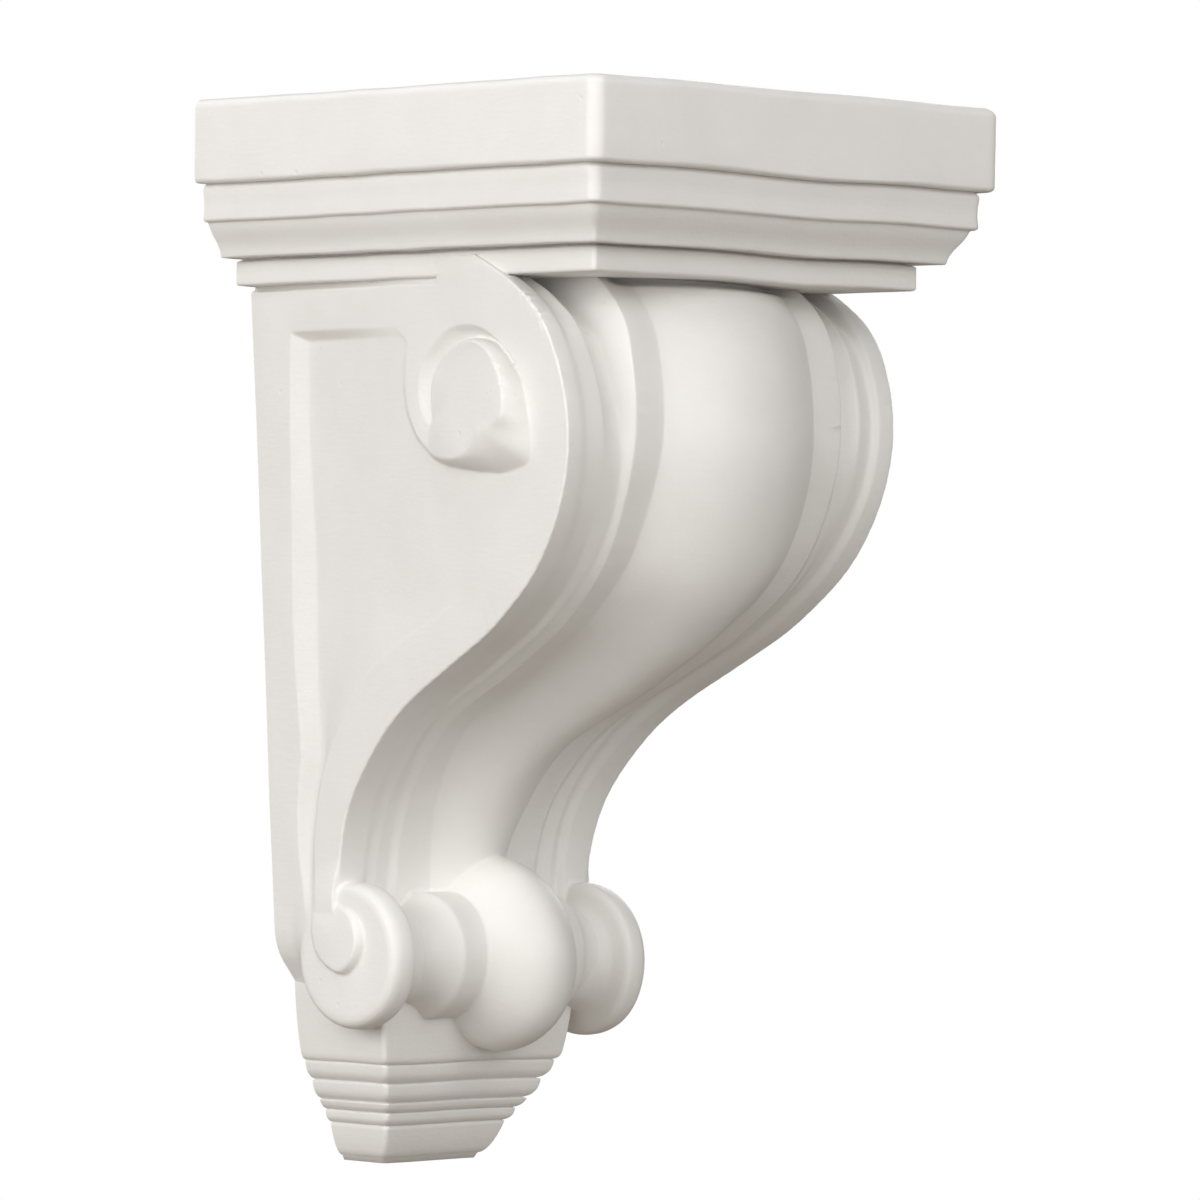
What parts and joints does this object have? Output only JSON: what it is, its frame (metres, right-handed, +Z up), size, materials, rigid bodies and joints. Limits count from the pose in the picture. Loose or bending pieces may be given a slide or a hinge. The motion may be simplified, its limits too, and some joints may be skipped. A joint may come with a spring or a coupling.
{
  "type": "corbel",
  "caption": "Small scrolled corbel with a stepped square cap, an S-curved front with a raised roll, side volutes and a stepped foot, fixed flat to a wall to carry a shelf.",
  "frame": {"origin": "centre of the flat back, on the wall plane", "axes": "+Z up, the longest way; +Y into the wall, out of the flat back; +X to the side, square to the plane of symmetry"},
  "size_m": [0.1016, 0.1016, 0.1906],
  "materials": {
    "white_primer": "cast light urethane with a matt, slightly warm white primer"
  },
  "bodies": {
    "root": {"corbel": "white_primer"}
  },
  "joints": []
}
